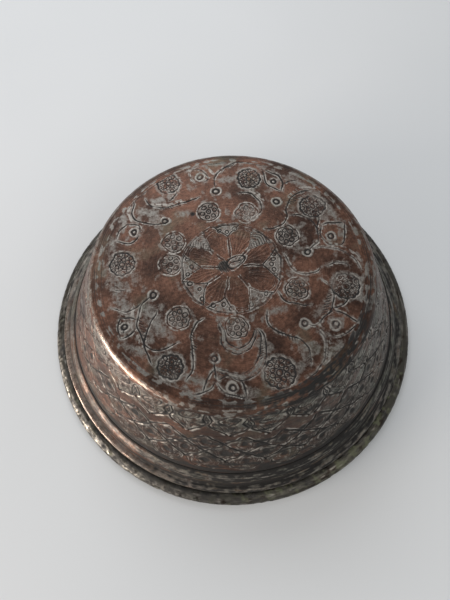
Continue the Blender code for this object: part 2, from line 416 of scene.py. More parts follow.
# Feathered edges along some of the scrolls: from, to, strokes, their length, and the side.
FEATHERS = (
    ((-22, -36), (-22.4, -48), 9, 3.2, 1), ((-50, -27), (-47, -39), 8, 2.8, 1),
    ((37.5, -50), (37.5, -56), 5, 2.6, -1), ((45.5, -43), (44.5, -53), 7, 3.0, 1),
    ((49, 15), (49.2, 22), 5, 2.4, -1), ((-6, -70.5), (3.5, -72), 7, 2.4, 1),
    ((34, 40), (43, 47.5), 8, 2.6, -1), ((-41, 39.8), (-29, 42), 8, 2.6, -1),
    ((54, 10.6), (64, 5.6), 8, 2.6, 1), ((53, -17), (47.5, -30), 9, 2.8, -1),
    ((22, -37.5), (34, -43), 8, 2.6, -1), ((-57, -36), (-60, -29), 5, 2.2, -1),
    ((14.4, -42), (13.4, -52), 8, 2.2, -1),
)
for start, end, count, length, side in FEATHERS:
    hatch(start, end, count, length, FEATHER_LEAN, side=side)

# Where tin still lies between the lines, and where the bare copper shows through it.
TIN_LEFT = (
    ([(-50, 38), (-44, 37)], 3.2, 1.0), ([(-44, 45), (-39, 46)], 2.6, 0.9),
    ([(-29, 35), (-24, 36)], 2.6, 0.8), ([(-62, 36), (-60, 30)], 2.6, 0.9),
    ([(-4, 58), (2, 59)], 2.6, 0.85), ([(-2, 71), (-14, 70), (-24, 66)], 2.0, 0.8),
    ([(64, 22), (58, 34), (48, 48), (36, 58)], 3.0, 0.8), ([(-46, -20), (-42, -24)], 2.6, 0.7),
    ([(-63, -3), (-60, -16), (-55, -26)], 4.2, 0.8), ([(-52, -44), (-47, -47)], 3.0, 0.8),
    ([(-43, -60), (-41, -60)], 2.2, 1.0), ([(20, -27), (27, -25)], 2.4, 0.7),
    ([(47, -51), (53, -46)], 3.0, 0.85), ([(70, -9), (67, -22)], 1.6, 1.0),
    ([(33, -56), (27, -63)], 2.6, 0.8), ([(-31, -58), (-16, -63)], 3.0, 0.8),
    ([(-66, 8), (-66, 20)], 2.6, 0.7), ([(43, -30), (50, -22), (56, -8)], 2.6, 0.6),
    ([(40, 16), (38, 24)], 2.8, 0.6), ([(24, 12), (33, 12)], 2.2, 0.5),
    ([(-36, -35), (-30, -42)], 2.6, 0.6), ([(-46, -23), (-41, -30), (-38, -35)], 4.6, 0.85),
    ([(-56, -36), (-52, -31)], 3.2, 0.75), ([(-58, 6), (-52, -6)], 3.6, 0.55),
    ([(-40, -62), (-30, -66)], 3.0, 0.8),
)
for place, width, amount in TIN_LEFT:
    wiped(place, width, amount)
COPPER_BARE = (
    ([(-34, 2), (-36, -14)], 5.5), ([(-20, 33), (-34, 24)], 4.5), ([(20, 56), (6, 41)], 5.0),
    ([(26, 44), (45, 38)], 4.5), ([(58, 0), (48, -17)], 4.5), ([(25, -52), (20, -64)], 5.5),
    ([(0, -53), (2, -54)], 3.5), ([(-30, -52), (-14, -44)], 5.0), ([(44, 3), (38, 5)], 3.5),
    ([(25, -33), (40, -28)], 4.0), ([(-46, 8), (-48, -4)], 5.0), ([(-55, -50), (-45, -56)], 4.0),
)
for place, width in COPPER_BARE:
    wiped(place, width, 1.0, "bare")
wiped([(-21, 35.6)], 1.4, 0.9, "cut")


def from_board(layer, x, y):
    """The board's value at points x, y, straight-line weighted between its four nearest points.

    The points are first moved by up to about half a millimetre, as a hand-held tool wanders.
    """
    x, y = (x + 0.32 * waves(x, y, 0, 8.0, 7) + 0.04 * waves(x, y, 0, 2.0, 9),
            y + 0.32 * waves(x, y, 0, 8.0, 8) + 0.04 * waves(x, y, 0, 2.0, 10))
    col = np.clip((x + BOARD_REACH) / BOARD_PITCH, 0, BOARD_SIDE - 1.001)
    row = np.clip((y + BOARD_REACH) / BOARD_PITCH, 0, BOARD_SIDE - 1.001)
    i, j = row.astype(int), col.astype(int)
    u, v = row - i, col - j
    values = board[layer]
    return ((values[i, j] * (1 - v) + values[i, j + 1] * v) * (1 - u)
            + (values[i + 1, j] * (1 - v) + values[i + 1, j + 1] * v) * u)


def hammer(azimuth, path, radius, across, along, seed):
    """Planishing marks: the height of shallow facets, 0 to 1, laid in staggered rows.

    Every facet has a centre moved a little at random; a point takes the nearest
    centre's dish, which is 1 - (distance / facet size)^2.
    """
    columns = max(6, int(round(2 * np.pi * np.mean(radius) / across)))
    row = path / along
    dice = np.random.default_rng(seed)
    spread = dice.uniform(-0.28, 0.28, (2, 64, columns))
    nearest = np.full(np.broadcast(azimuth, path).shape, 9.0)
    for up in (-1, 0, 1):
        line = np.floor(row) + up
        shift = 0.5 * (line % 2)
        place = azimuth / (2 * np.pi) * columns - shift
        for side in (-1, 0, 1):
            cell = np.floor(place) + side
            pick = (line.astype(int) % 64, cell.astype(int) % columns)
            dx = (place - cell - 0.5 - spread[0][pick])
            dy = (row - line - 0.5 - spread[1][pick])
            nearest = np.minimum(nearest, dx ** 2 + dy ** 2)
    return 1 - np.clip(nearest / 0.5, 0, 1)


def base_finish(x, y):
    """What the engraver and the years left at points of the base: the lift of the surface in mm,
    and how far each point is cut, pale, tinned and light, 0 to 1."""
    r = np.hypot(x, y)
    azimuth = np.arctan2(y, x)
    wear = 0.5 + 0.5 * waves(x, y, 0, 26, 11)
    keep = np.clip(0.55 + 0.75 * wear, 0.35, 1.0)
    ragged = np.clip(0.70 + 0.5 * waves(x, y, 0, 2.6, 12) + 0.35 * waves(x, y, 0, 9, 13), 0, 1.15)
    cut = from_board("cut", x, y) * keep * np.clip(0.95 + 0.3 * waves(x, y, 0, 4, 25), 0.4, 1)
    pale = from_board("pale", x, y) * np.clip(ragged + 0.15, 0, 1)
    bare = from_board("bare", x, y)
    ground = step(0.25, 1.15, waves(x, y, 0, 12, 14) * 0.8 + 0.5 * waves(x, y, 0, 4.2, 15)
                  + 0.15 * wear)
    field = step(28.5, 30, r)
    patches = from_board("tin", x, y) * np.clip(0.55 + 0.75 * ragged, 0, 1)
    tin = np.maximum(patches, ground * field * (1 - bare) * 0.62)
    tin *= 1 - 0.5 * step(71.5, 73.5, r)
    turned = sum(depth * bell(r - at_radius, 0.24)
                 for at_radius, depth in ((70.9, 0.6), (72.3, 0.5), (73.4, 0.25), (74.3, 0.35)))
    lines = turned * np.clip(0.8 + 0.5 * waves(x, y, 0, 16, 16), 0.2, 1)
    facets = hammer(azimuth, r, np.maximum(r, 1), 11.0, 9.0, 17)
    lift = (-0.10 - 0.24 * cut + 0.07 * pale - 0.10 * lines
            - 0.03 * facets * step(6, 20, r) + 0.012 * waves(x, y, 0, 2.0, 18))
    grime = np.clip(np.maximum(cut, 0.75 * lines), 0, 1)
    return np.minimum(lift, 0), {"cut": grime, "pale": pale, "tin": np.clip(tin, 0, 1),
                                 "shade": np.clip(0.5 + 0.5 * waves(x, y, 0, 18, 19), 0, 1)}


SHARP_EDGE = 72              # folds sharper than this stay crisp


def sheet_piece(name, points, quads, cap, marks, shown):
    """A closed mesh from its points in mm, its four-sided faces and at most one many-sided one.

    marks are 0 to 1 values for the first shown points, kept as named attributes;
    the plain inner points get 0.
    """
    mesh = bpy.data.meshes.new(name)
    corners = np.concatenate([quads.ravel(), np.asarray(cap, int)]).astype(np.int32)
    starts = (np.arange(len(quads)) * 4).astype(np.int32)
    if len(cap):
        starts = np.append(starts, np.int32(quads.size))
    mesh.vertices.add(len(points))
    mesh.vertices.foreach_set("co", (points * MM).astype(np.float32).ravel())
    mesh.loops.add(len(corners))
    mesh.loops.foreach_set("vertex_index", corners)
    mesh.polygons.add(len(starts))
    mesh.polygons.foreach_set("loop_start", starts)
    mesh.update(calc_edges=True)
    mesh.shade_smooth()
    mesh.set_sharp_from_angle(angle=np.radians(SHARP_EDGE))
    for mark, value in marks.items():
        whole = np.zeros(len(points), np.float32)
        whole[:shown] = value.ravel()
        mesh.attributes.new(mark, "FLOAT", "POINT").data.foreach_set("value", whole)
    piece = bpy.data.objects.new(name, mesh)
    bpy.context.scene.collection.objects.link(piece)
    return piece


def sheet_disc(name, reach, cells, shown, hidden, finish):
    """A round piece of flat sheet: a square grid drawn out to a disc, so that it has no pole.

    A square's point at (u, v) goes to radius max(|u|, |v|) and to the angle that is
    proportional to its place along the side of the square it lies on. shown and hidden
    are the heights of the face with the finish and of the plain one behind it.
    """
    line = np.linspace(-1, 1, cells + 1)
    u, v = np.meshgrid(line, line)
    wide = np.abs(u) > np.abs(v)
    far = np.where(wide, u, v)
    safe = np.where(far == 0, 1, far)
    angle = np.where(wide, np.pi / 4 * v / safe, np.pi / 2 - np.pi / 4 * u / safe)
    x, y = reach * far * np.cos(angle), reach * far * np.sin(angle)
    lift, marks = finish(x, y)
    upward = np.sign(shown - hidden)
    top = np.stack([x, y, shown + upward * lift], -1).reshape(-1, 3)
    index = np.arange((cells + 1) ** 2).reshape(cells + 1, cells + 1)
    quads = np.stack([index[:-1, :-1], index[:-1, 1:], index[1:, 1:], index[1:, :-1]], -1)
    rim = np.concatenate([index[0, :-1], index[:-1, -1], index[-1, :0:-1], index[:0:-1, 0]])
    low = top[rim].copy()
    low[:, 2] = hidden
    below = len(top) + np.arange(len(rim))
    skirt = np.stack([rim, below, np.roll(below, -1), np.roll(rim, -1)], -1)
    quads = np.vstack([quads.reshape(-1, 4), skirt])
    cap = below[::-1]
    if upward < 0:
        quads, cap = quads[:, ::-1], cap[::-1]
    return sheet_piece(name, np.vstack([top, low]), quads, cap, marks, len(top))


def turned_piece(name, radius, height, inner, marks):
    """A closed ring of sheet: the rows of its outer face, then a plain inner section.

    radius and height are rows by steps round the axis; inner is the inner section's
    points from the outer edge of the ring back to its inner edge.
    """
    rows, turns = radius.shape
    inner = np.asarray(inner, float)
    radius = np.vstack([radius, np.repeat(inner[:, :1], turns, 1)])
    height = np.vstack([height, np.repeat(inner[:, 1:], turns, 1)])
    angle = np.arange(turns) * 2 * np.pi / turns
    points = np.stack([radius * np.cos(angle), radius * np.sin(angle), height], -1).reshape(-1, 3)
    index = np.arange(radius.size).reshape(radius.shape)
    down, on = np.roll(index, -1, 0), np.roll(index, -1, 1)
    quads = np.stack([index, down, np.roll(down, -1, 1), on], -1).reshape(-1, 4)
    return sheet_piece(name, points, quads, (), marks, rows * turns)


def inner_section(first, last, count):
    """The sheet's inner face between two distances along its outside, from last back to first."""
    r, z, facing = outer_face(np.linspace(last, first, count))
    return np.stack([r - SHEET * np.cos(facing), z - SHEET * np.sin(facing)], 1)


def band(name, first, last, rows, turns, finish, hidden=3):
    """A ring of the sheet between two distances along its section, lifted and marked by a finish."""
    path = np.linspace(first, last, rows)[:, None]
    angle = (np.arange(turns) * 2 * np.pi / turns)[None, :]
    r, z, facing = outer_face(path)
    lift, marks = finish(path, angle)
    return turned_piece(name, r + lift * np.cos(facing), z + lift * np.sin(facing),
                        inner_section(first, last, hidden), marks)


def colour(text):
    """A colour written as six hex digits of sRGB, as the linear values that a shader takes."""
    value = np.array([int(text[i:i + 2], 16) / 255 for i in (1, 3, 5)])
    value = np.where(value <= 0.04045, value / 12.92, ((value + 0.055) / 1.055) ** 2.4)
    return (*value, 1.0)


def plug(tree, node, inputs):
    """Give each named or numbered socket of a node its value, or link an output into it."""
    for socket, value in inputs.items():
        if isinstance(value, bpy.types.NodeSocket):
            tree.links.new(value, node.inputs[socket])
        else:
            node.inputs[socket].default_value = value


def add(tree, kind, inputs=(), **settings):
    """Add one node, and give the output that this file takes from a node of its kind.

    settings are its own properties. inputs are its sockets' values: a dict by name, or a list
    in the sockets' order, which for a colour mix is how much, first colour, second colour, and
    for a map range is value, from low, from high, to low, to high.
    """
    made = tree.nodes.new("ShaderNode" + kind)
    if kind == "Mix":
        made.data_type = "RGBA"
    for setting, value in settings.items():
        setattr(made, setting, value)
    if not isinstance(inputs, dict):
        inputs = dict(zip((0, 6, 7) if kind == "Mix" else range(9), inputs))
    plug(tree, made, inputs)
    taken = {"TexCoord": "Object", "Attribute": "Fac", "VectorMath": "Value", "Mix": 2}
    return made.outputs[taken.get(kind, 0)]


def new_finish(name):
    """A new material, with its node tree, its shader and the coordinates for its patterns."""
    made = bpy.data.materials.new(name)
    made.use_nodes = True
    tree = made.node_tree
    return made, tree, tree.nodes["Principled BSDF"], add(tree, "TexCoord")


# Engraved copper, tinned and worn: red-brown dulled copper where the tin has gone, grey wiped
# tin in patches and along every cut line, black grime in the lines, fine scratches over all.
COPPER_LIGHT = "#664738"
COPPER_DEEP = "#3d291f"
TIN_GREY = "#7f7a73"
TIN_LIP_AND_SHEEN = "#98928a"         # the lip of tin beside a cut line, kept bright; on the wall's ridges also a painted highlight
GRIME = "#14100c"
VERDIGRIS = "#4c5546"
RUBBED_SHEEN = "#a28f82"           # the corner and the bends, burnished by hands and cloths, and lightened as a painted highlight where they face the window


def engraved_copper():
    """The finish of the base, the wall and the neck, from the marks that the meshes carry. A mark
    that a mesh doesn't carry counts as 0."""
    made, tree, shader, place = new_finish("engraved_tinned_copper")
    cut, pale, tin, shade, rub, damp = [add(tree, "Attribute", attribute_name=mark)
                                        for mark in ("cut", "pale", "tin", "shade", "rub", "green")]
    broad = add(tree, "TexNoise", {"Vector": place, "Scale": 60.0, "Detail": 3.0})
    mottle = add(tree, "TexNoise", {"Vector": place, "Scale": 480.0, "Detail": 6.0, "Roughness": 0.7})
    grain = add(tree, "TexNoise", {"Vector": place, "Scale": 1500.0, "Detail": 3.0})
    # Scratches are about 0.1 mm wide on the real one; 0.35 mm here, so that they show.
    streaks = []
    for turn in (0.5, 2.2):
        turned = add(tree, "Mapping", {"Vector": place, "Rotation": (0, 0, turn),
                                       "Scale": (2800.0, 160.0, 900.0)})
        streak = add(tree, "TexNoise", {"Vector": turned, "Scale": 1.0, "Detail": 1.0})
        streaks.append(add(tree, "MapRange", [streak, 0.62, 0.74]))
    scratch = add(tree, "Math", streaks, operation="MAXIMUM")
    # Rings from scouring the bowl on a wheel, 0.8 mm apart: noise along the distance from the axis.
    flat = add(tree, "Mapping", {"Vector": place, "Scale": (1.0, 1.0, 0.0)})
    out = add(tree, "VectorMath", [flat], operation="LENGTH")
    out = add(tree, "Math", [out, 1250.0], operation="MULTIPLY")
    scour = add(tree, "TexNoise", {"W": out, "Scale": 1.0, "Detail": 2.0}, noise_dimensions="1D")

    # The shade mark sets the copper's tone: at random, darker at the wall's front as painted shade, darker
    # at the corner's right front, and lighter on the neck's window side as painted light.
    tone = add(tree, "Math", [broad, shade], operation="ADD")
    tone = add(tree, "MapRange", [tone, 0.45, 1.35])
    copper = add(tree, "Mix", [tone, colour(COPPER_DEEP), colour(COPPER_LIGHT)])
    spots = add(tree, "MapRange", [mottle, 0.38, 0.62, 0.62, 1.28])
    lathe = add(tree, "MapRange", [scour, 0.35, 0.65, 0.88, 1.12])
    spots = add(tree, "Math", [spots, lathe], operation="MULTIPLY")
    copper = add(tree, "Mix", [1.0, copper, spots], blend_type="MULTIPLY")
    # Tin lies where its mark, roughened by the mottle and the scratches, is high enough.
    lying = add(tree, "Math", [tin, pale], operation="MAXIMUM")
    lying = add(tree, "Math", [mottle, 2.2, lying], operation="MULTIPLY_ADD")
    lying = add(tree, "Math", [scratch, 0.16, lying], operation="MULTIPLY_ADD")
    lying = add(tree, "MapRange", [lying, 1.34, 2.02])
    tin_tone = add(tree, "MapRange", [grain, 0.35, 0.65, 0.72, 1.12])
    tin_colour = add(tree, "Mix", [1.0, colour(TIN_GREY), tin_tone], blend_type="MULTIPLY")
    lip_and_sheen = add(tree, "MapRange", [pale, 0.35, 0.9])
    tin_colour = add(tree, "Mix", [lip_and_sheen, tin_colour, colour(TIN_LIP_AND_SHEEN)])
    face = add(tree, "Mix", [lying, copper, tin_colour])
    # Verdigris in a few drifts, and a thin film of it where the damp mark says.
    green = add(tree, "MapRange", [broad, 0.56, 0.74, 0.0, 0.4])
    film = add(tree, "Math", [damp, 0.55], operation="MULTIPLY")
    green = add(tree, "Math", [green, film], operation="MAXIMUM")
    face = add(tree, "Mix", [green, face, colour(VERDIGRIS)])
    # The rub mark: burnished, smoother copper, lightened towards a pale colour; on the window side this
    # lightening is a painted highlight.
    worn = add(tree, "Math", [rub, spots], operation="MULTIPLY", use_clamp=True)
    worn = add(tree, "Math", [worn, 0.6], operation="MULTIPLY")
    face = add(tree, "Mix", [worn, face, colour(RUBBED_SHEEN)])
    # The cut mark brings grime into the cut lines and grooves; on the wall it also carries painted shade in
    # the hollows and at the front.
    dirt = add(tree, "MapRange", [cut, 0.12, 0.62])
    face = add(tree, "Mix", [dirt, face, colour(GRIME)])
    rough = add(tree, "MapRange", [mottle, 0.3, 0.7, 0.34, 0.5])
    rough = add(tree, "Math", [dirt, 0.35, rough], operation="MULTIPLY_ADD")
    rough = add(tree, "Math", [rub, -0.22, rough], operation="MULTIPLY_ADD")
    metal = add(tree, "Math", [dirt, -0.6, 0.68], operation="MULTIPLY_ADD")
    height = add(tree, "Math", [scratch, -0.5, grain], operation="MULTIPLY_ADD")
    height = add(tree, "Math", [scour, 0.6, height], operation="MULTIPLY_ADD")
    bump = add(tree, "Bump", {"Height": height, "Strength": 0.35, "Distance": 0.00012})
    plug(tree, shader, {"Base Color": face, "Roughness": rough, "Metallic": metal, "Normal": bump})
    return made


copper_face = engraved_copper()


def fix(piece, material, node):
    """Give a piece its material, tie it to the root body, and hide the CAD node that it stands for."""
    piece.data.materials.append(material)
    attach(piece, "root")
    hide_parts(node)


MEDALLION_EDGE = 28.6        # radii at which the base is split into its disc and rings
FIELD_MIDDLE = 49.5
FIELD_EDGE = 71.6
BASE_TURNS = 1200


def field_finish(path, angle):
    """The base's finish on a ring of it, given by radius and angle."""
    return base_finish(path * np.cos(angle), path * np.sin(angle))


fix(sheet_disc("base_medallion", MEDALLION_EDGE, 300, BASE_HEIGHT, BASE_HEIGHT - SHEET, base_finish),
    copper_face, "copper_body")
for name, first, last in (("base_inner_field", MEDALLION_EDGE, FIELD_MIDDLE),
                          ("base_outer_field", FIELD_MIDDLE, FIELD_EDGE)):
    fix(band(name, first, last, 80, BASE_TURNS, field_finish), copper_face, "copper_body")

# ---------------------------------------------------------------------------
# 2. The border of the base and the soft corner round it.
# The same sheet, turned down over a stake. The border is plain copper with a
# few lines turned in it. Hands have burnished the corner, and on the window side
# its colour is lightened as a painted highlight.
# ---------------------------------------------------------------------------
# The place of each line along the section, and its depth.
BORDER_LINES = ((73.6, 0.5), (74.9, 0.8), (75.8, 0.4), (79.6, 0.55), (80.6, 0.45))


def corner_finish(path, angle):
    """Lift and marks of the border and corner: ragged tin, a darker tone and black marks at the right
    front, turned lines, and a burnished band, lightened as a painted highlight on the window side.
    """
    r, z, _ = outer_face(path)
    x, y = r * np.cos(angle), r * np.sin(angle)
    lift, marks = base_finish(x, y)
    over = step(FIELD_EDGE - 0.4, FIELD_EDGE + 0.8, path + 0 * angle)
    fade = 1 - over
    lines = sum(depth * bell(path - place, 0.22) for place, depth in BORDER_LINES)
    lines = lines * np.clip(0.75 + 0.6 * waves(x, y, z, 14, 21), 0.1, 1)
    dents = 0.05 * np.clip(waves(x, y, z, 9, 22), -1, 0)
    own_lift = -0.10 - 0.10 * lines + dents * step(72, 75, path)
    ragged = waves(x, y, z * 2.5, 5, 23) + 0.6 * waves(x, y, z, 14, 24)
    streak = waves(78 * np.cos(angle), 78 * np.sin(angle), path * 6, 9, 27)
    # Between the first lines and the bend little tin is left, but for the right-hand side.
    dull = step(73.6, 74.4, path) * step(77.2, 76.2, path) * (1 - facing_side(angle, 318, 34))
    tin = 0.95 * step(-0.1, 0.8, ragged + 0.7 * streak) * (1 - 0.75 * dull)
    # Bright tin where the corner catches the window's light: a painted highlight.
    polished_highlight = facing_side(angle, 222, 17) * step(76.0, 77.0, path)
    tin = np.maximum(tin, polished_highlight * step(-0.3, 0.5, ragged + 0.5 * streak))
    # Darker towards the right front: black marks over the border, and a deeper copper tone below.
    right_front_dark = (0.7 + 0.7 * streak + 0.4 * waves(x, y, 2 * z, 2.5, 28)).clip(0, 1)
    right_front_dark = 0.72 * facing_side(angle, 308, 42) * right_front_dark
    # The burnished band, mostly on the window side, where its lightened colour is a painted highlight.
    rubbed_and_lit = (0.75 + 0.3 * waves(x, y, z, 9, 26)).clip(0, 1)
    rubbed_and_lit = rubbed_and_lit * (0.1 + 0.9 * facing_side(angle, 195, 48))
    return lift * fade + own_lift * over, {
        "cut": marks["cut"] * fade + over * np.clip(lines + right_front_dark, 0, 1), "pale": marks["pale"] * fade,
        "tin": marks["tin"] * fade + over * tin,
        "shade": marks["shade"] - 0.7 * over * facing_side(angle, 295, 55),
        "rub": step(76.4, 77.2, path) * step(79.6, 78.6, path) * rubbed_and_lit}


fix(band("base_border_and_corner", FIELD_EDGE, CORNER_END, 52, BASE_TURNS, corner_finish, hidden=8),
    copper_face, "copper_body")

# ---------------------------------------------------------------------------
# 3. The wall: the sheet raised over a stake into a straight flare.
# Engraved with an arcade of pointed hoods above, and three staggered rows of
# scales, each with a punched eye, below. Planishing marks show through both.
# ---------------------------------------------------------------------------
ARCHES = 25
SCALES = 27
WALL_TURNS = 1440
SCALE_APEX = (18.8, 27.2, 35.8)   # down the wall from the corner's end to each row's points
SCALE_EYE = (25.8, 35.0, 44.2)
SCALE_DROP = 8.6
WALL_LINES = ((-1.6, 0.5), (17.9, 0.5), (55.2, 0.4), (56.2, 0.6))   # place down it, depth


def cell_noise(cell, seed, count):
    """A fixed random number from -1 to 1 for each numbered cell round the bowl."""
    return np.random.default_rng(seed).uniform(-1, 1, count)[cell.astype(int) % count]


def wall_finish(path, angle):
    """Lift and marks of the wall.

    Each motif is worked out in its own cell round the wall: u is the distance in mm from the
    cell's middle line, s the distance down the wall. A traced line is a bell of the distance
    to it, with tin pushed up beside it; FAR is the distance where there is no line.
    """
    FAR = 9
    r, z, _ = outer_face(path)
    x, y = r * np.cos(angle), r * np.sin(angle)
    s = path - CORNER_END + 0 * angle
    s_line = s + 0.7 * waves(x, y, z, 30, 31)
    angle = angle + 0.5 / r * waves(x, y, z, 6, 29)
    cut, pale, tin, hollow, ridge_with_highlight = np.zeros((5, *s.shape))

    def most(mark, value):
        np.maximum(mark, value, out=mark)

    def sink(distance):
        most(hollow, bell(distance, 1.5))

    def trace(distance, width=0.4, dark=1.0, bright=0.8):
        most(cut, dark * bell(distance, width))
        most(pale, bright * bell(distance - 2 * width, width))

    # The arcade: a pointed hood, s 0 to 9, from whose foot two lines sweep out to its neighbours.
    column = angle * ARCHES / (2 * np.pi) + 0.45 + 0 * s
    cell = np.floor(column)
    width = 2 * np.pi * r / ARCHES
    u = (column - cell - 0.5) * width - 0.9 * cell_noise(cell, 32, ARCHES)
    t = s_line - 1.0 * cell_noise(cell, 34, ARCHES)
    half = np.where(t < 5, 2.4 * np.clip(t / 5, 0, 1) ** 0.7,
                    2.4 - 1.5 * step(5, 9.5, t)) + 9.0 * step(8.8, 17.5, t) ** 1.1
    half = half * (1 + 0.16 * cell_noise(cell, 33, ARCHES))
    steep = 1 / np.sqrt(1 + np.where(t > 9, 1.6, 0.25) ** 2)
    hood = np.where((t > 0) & (t < 17.5), np.abs(np.abs(u) - half) * steep, FAR)
    trace(hood, 0.42, 0.85, 1.0)
    above = (np.abs(u) > half) & (t < 17.5)
    most(ridge_with_highlight, above * bell(hood - 1.1, 0.75))
    sink(np.where(above, hood, hood + 1))
    inner = np.where((t > 1.8) & (t < 9), np.abs(np.abs(u) - (half - 1.5)) * steep, FAR)
    trace(inner, 0.3, 0.8, 0.9)
    beside = np.where((np.abs(u) > half + 2.2) & (t > 8.5) & (t < 15),
                      np.abs((np.abs(u) * 0.8 - 0.6 * t) % 1.9 - 0.95), FAR)
    trace(beside, 0.26, 0.7, 0.7)
    spine = np.where((t > 1.5) & (t < 9), np.abs(u + 0.4 * np.sin(t)), FAR)
    trace(spine, 0.32, 0.9, 0.5)
    most(tin, 0.75 * (np.abs(u) < half) * (t > 1) * (t < 9.5))
    most(tin, 0.62 * above * (s > 0.5))
    under = step(9.5, 11, t) * (np.abs(u) < half)
    # Between two hoods, a pair of leaves with hatched ribs, and a sprig below them.
    v = (column - cell - np.round(column - cell)) * width
    leaf = np.hypot(v / 5.4, (t - 3.6 + 0.3 * v) / 3.0)
    trace(np.abs(leaf - 1) * 3.0, 0.34, 0.8, 0.9)
    trace(np.where(leaf < 0.9, np.abs((v + 0.5 * t) % 1.9 - 0.95), FAR), 0.26, 0.6, 0.6)
    most(tin, 0.7 * (leaf < 1) * (cell_noise(np.round(column), 35, ARCHES) > -0.2))
    sprig = np.where((t > 8) & (t < 15), np.abs(np.abs(v) - 1.1 - 0.05 * (t - 11) ** 2), FAR)
    trace(sprig, 0.3, 0.6, 0.8)

    # The scales: ogee lines from each apex out to the next row's, an eye in a ring, ribs below.
    for number, (apex, eye) in enumerate(zip(SCALE_APEX, SCALE_EYE)):
        column = angle * SCALES / (2 * np.pi) + 0.08 + 0.5 * (number % 2) + 0 * s
        cell = np.floor(column)
        width = 2 * np.pi * r / SCALES
        u = (column - cell - 0.5) * width - 0.5 * cell_noise(cell, 40 + number, SCALES)
        t = (s_line - apex - 0.5 * cell_noise(cell, 50 + number, SCALES)) / SCALE_DROP
        part = np.clip(t, 0, 1)
        half = width / 2 * (0.42 * part ** 0.75 + 0.58 * (1 - np.cos(np.pi * part)) / 2)
        line = np.where((t > 0) & (t < 1.05), np.abs(np.abs(u) - half) * 0.66, FAR)
        trace(line, 0.58, 1.0, 1.0)
        sink(line)
        # The ridge beside each line stands up, and on the flank that faces the window its pale colour is a
        # painted highlight.
        flank = np.where(u < 0, 1.0, 0.35) * step(0.1, 0.4, t) * step(1.05, 0.75, t)
        most(ridge_with_highlight, flank * bell(line - 1.3, 0.8))
        second = np.where((t > 0.35) & (t < 1.2), np.abs(np.abs(u) - half + 2.6) * 0.72, FAR)
        trace(second, 0.34, 0.6, 0.6)
        strong = 0.72 + 0.28 * cell_noise(cell, 55 + number, SCALES)
        round_eye = np.hypot(u / 2.1, (s_line - eye) / 2.7)
        most(cut, strong * step(1.1, 0.75, round_eye))
        sink(round_eye * 1.4)
        most(pale, 0.75 * strong * bell(round_eye - 1.5, 0.25))
        trace(np.abs(round_eye - 2.0) * 1.7, 0.3, 0.5, 0.6)
        below = (s_line - eye - 4.6) / 8.5
        spread = 1 + 1.3 * np.clip(below, 0, 1)
        fan = np.where((below > 0) & (below < 1) & (np.abs(u) < 4.6 * spread * (1 - 0.5 * below)),
                       np.abs((u / spread) % 1.9 - 0.95) * spread, FAR)
        trace(fan, 0.28, 0.6, 0.7)
    # A scalloped hem and two turned lines end the pattern.
    u = ((angle * SCALES / (2 * np.pi) + 0.08) % 1 - 0.5) * 2 * np.pi * r / SCALES
    hem = np.where(s > 46.5, np.abs(np.hypot(u, (s_line - 45.5) * 1.2) - 8.6) * 0.9, FAR)
    trace(hem, 0.36, 0.8, 0.9)
    trace(np.abs(s - 56.4), 0.3, 0.5, 0.8)
    for mark in (cut, pale, hollow, ridge_with_highlight):
        mark *= step(54.2, 53.0, s) * step(-1.2, 0.2, s)

    # Where it is rubbed, with less grime and painted shade on the window side; where painted shade darkens
    # the front; and where grey with tin.
    rubbed_and_lit_side, painted_shade_side, grey_side = [facing_side(angle, middle, spread) for middle, spread in
                                         ((182, 34), (275, 38), (325, 38))]
    wear = 0.5 + 0.5 * waves(x, y, z, 24, 36)
    ragged = np.clip(0.7 + 0.5 * waves(x, y, z, 3.6, 37) + 0.3 * waves(x, y, z, 9, 38), 0, 1.1)
    streak = waves(90 * np.cos(angle), 90 * np.sin(angle), path * 4, 10, 46)
    cut *= np.clip(0.8 + 0.5 * wear, 0.6, 1) * (1 - 0.35 * rubbed_and_lit_side)
    # The ridges are painted pale as a highlight.
    pale = np.maximum(pale, 1.1 * ridge_with_highlight) * ragged
    pale = pale * (1 - 0.5 * rubbed_and_lit_side + 0.15 * painted_shade_side + 0.25 * grey_side)
    # The plain zigzag between the arcade and the scales has lost its tin, and is only scored.
    plain = np.maximum(step(16.0, 17.5, s), under) * step(23.0, 20.5, s)
    ground = step(0.2, 1.2, waves(x, y, z * 1.6, 12, 39) + 0.5 * streak)
    ground = ground * 0.7 * (1 - 0.35 * step(19, 24, s)) + 0.4 * grey_side
    tin = np.maximum(tin * ragged, ground) * (1 - 0.85 * plain * (1 - 0.75 * grey_side))
    scored = step(0.25, 0.9, waves(x, y, z * 0.6, 1.9, 51) + 0.4 * streak)
    scored = 0.55 * grey_side * plain * scored
    rings = sum(depth * bell(s - place, 0.2) for place, depth in WALL_LINES)
    facets = hammer(angle, s, r, 10.5, 8.5, 47)
    lift = (-0.30 - 0.30 * cut - 0.30 * hollow + 0.08 * pale + 0.24 * ridge_with_highlight - 0.10 * rings
            - 0.10 * facets * (0.45 + 0.55 * plain)
            - 0.10 * (0.5 + 0.5 * np.clip(waves(x, y, z, 34, 48), -1, 1)))
    # Grime lies in the cuts and along the foot of the wall. Painted shade darkens the hollows beside
    # the cuts, less on the window side, and darkens the whole front.
    low = (0.17 - 0.12 * rubbed_and_lit_side + 0.16 * painted_shade_side) * (1 + streak).clip(0, 2)
    low = step(50.5, 56.0, s) * 0.5 + low * (1 - plain * 0.5)
    low = low + (0.34 - 0.24 * rubbed_and_lit_side) * hollow * (1 - pale)
    grime = np.maximum(np.maximum(np.maximum(cut, scored), 0.6 * rings), low)
